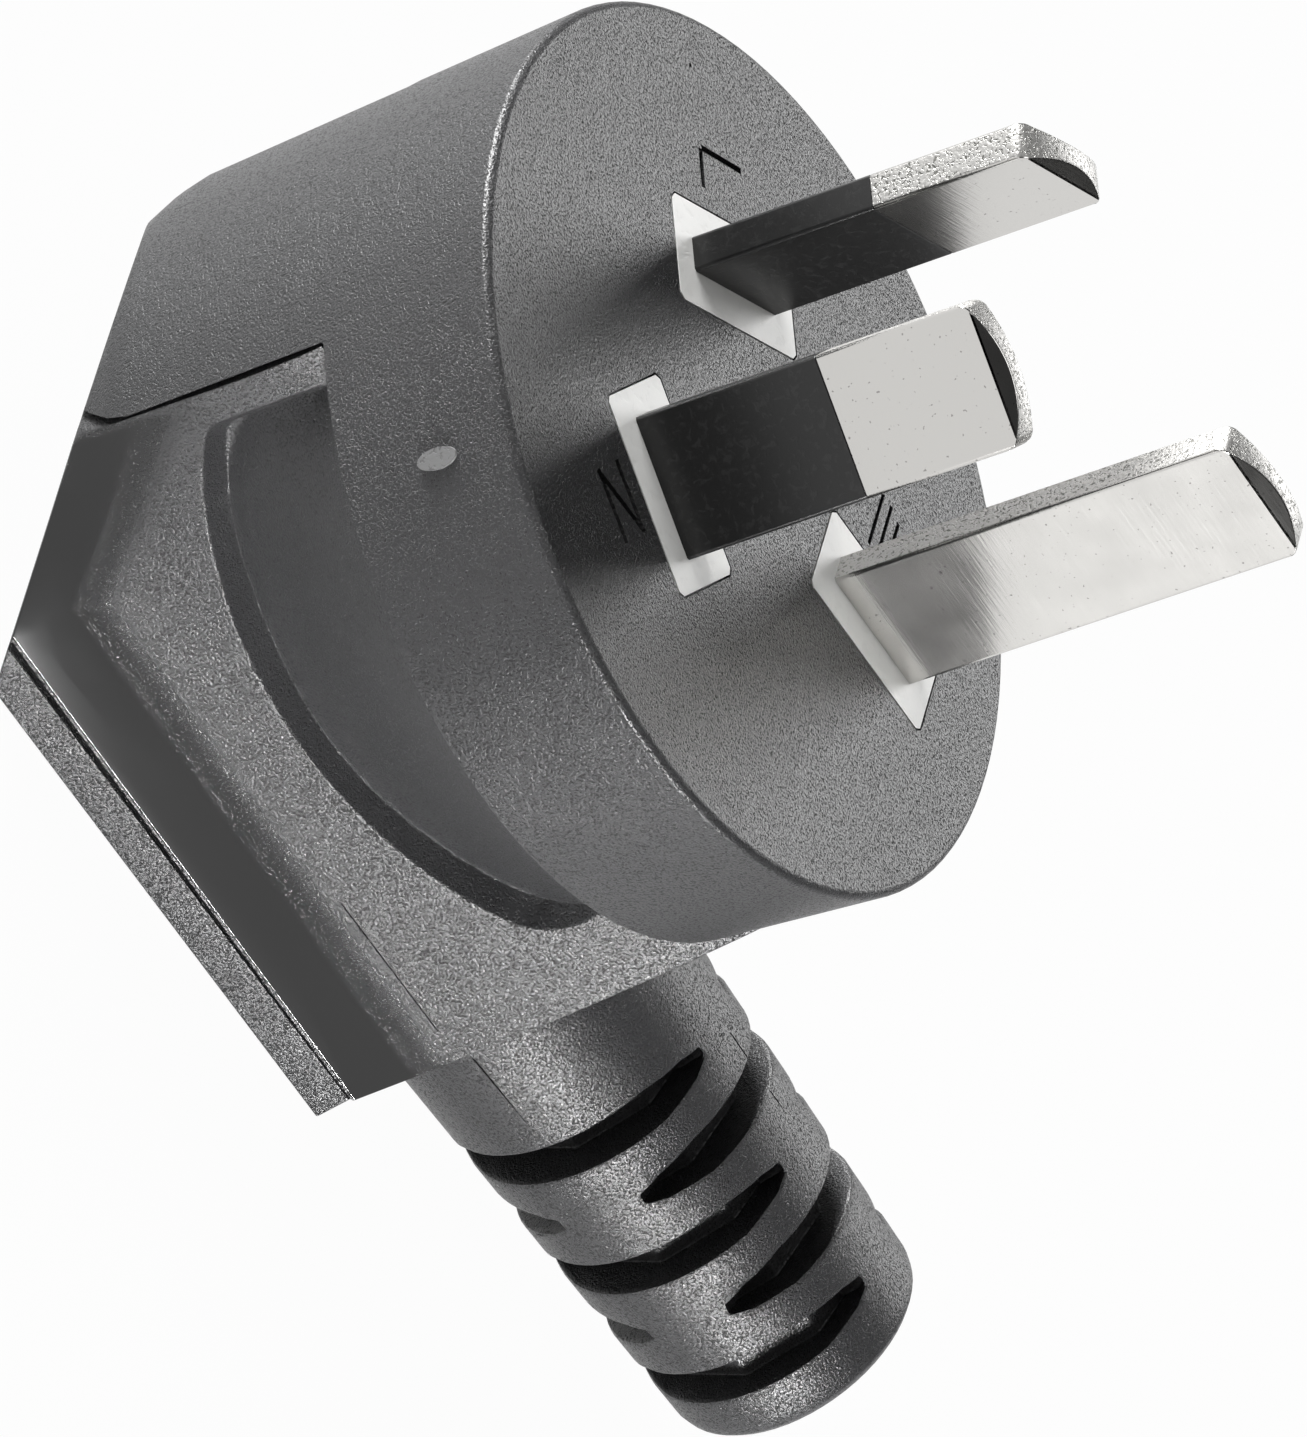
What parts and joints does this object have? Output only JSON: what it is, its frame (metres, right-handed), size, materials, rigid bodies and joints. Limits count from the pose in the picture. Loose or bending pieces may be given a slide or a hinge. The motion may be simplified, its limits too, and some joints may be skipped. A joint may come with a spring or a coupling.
{
  "type": "type i mains plug",
  "caption": "Right-angle moulded mains plug with flat angled pins, insulated sleeves and a slotted strain relief.",
  "frame": {"origin": "middle of the pin pattern, on the plane of the face that lies against the socket outlet", "axes": "+Z is the way the pins point, +Y is away from the cord's exit, +X is the active pin's side; the plug rests on its flat back with the pins up"},
  "size_m": [0.0394, 0.0649, 0.0523],
  "materials": {
    "body_plastic": "fine spark-eroded grain, black",
    "carrier_plastic": "smooth white moulding",
    "plated_brass": "satin nickel plate",
    "sleeve_plastic": "smooth black moulding",
    "crimp_brass": "tin plate"
  },
  "bodies": {
    "root": {"housing": "body_plastic", "pin_carrier": "carrier_plastic", "active_pin": "plated_brass", "neutral_pin": "plated_brass", "earth_pin": "plated_brass", "active_sleeve": "sleeve_plastic", "neutral_sleeve": "sleeve_plastic", "active_crimp": "crimp_brass", "neutral_crimp": "crimp_brass", "earth_crimp": "crimp_brass"}
  },
  "joints": []
}
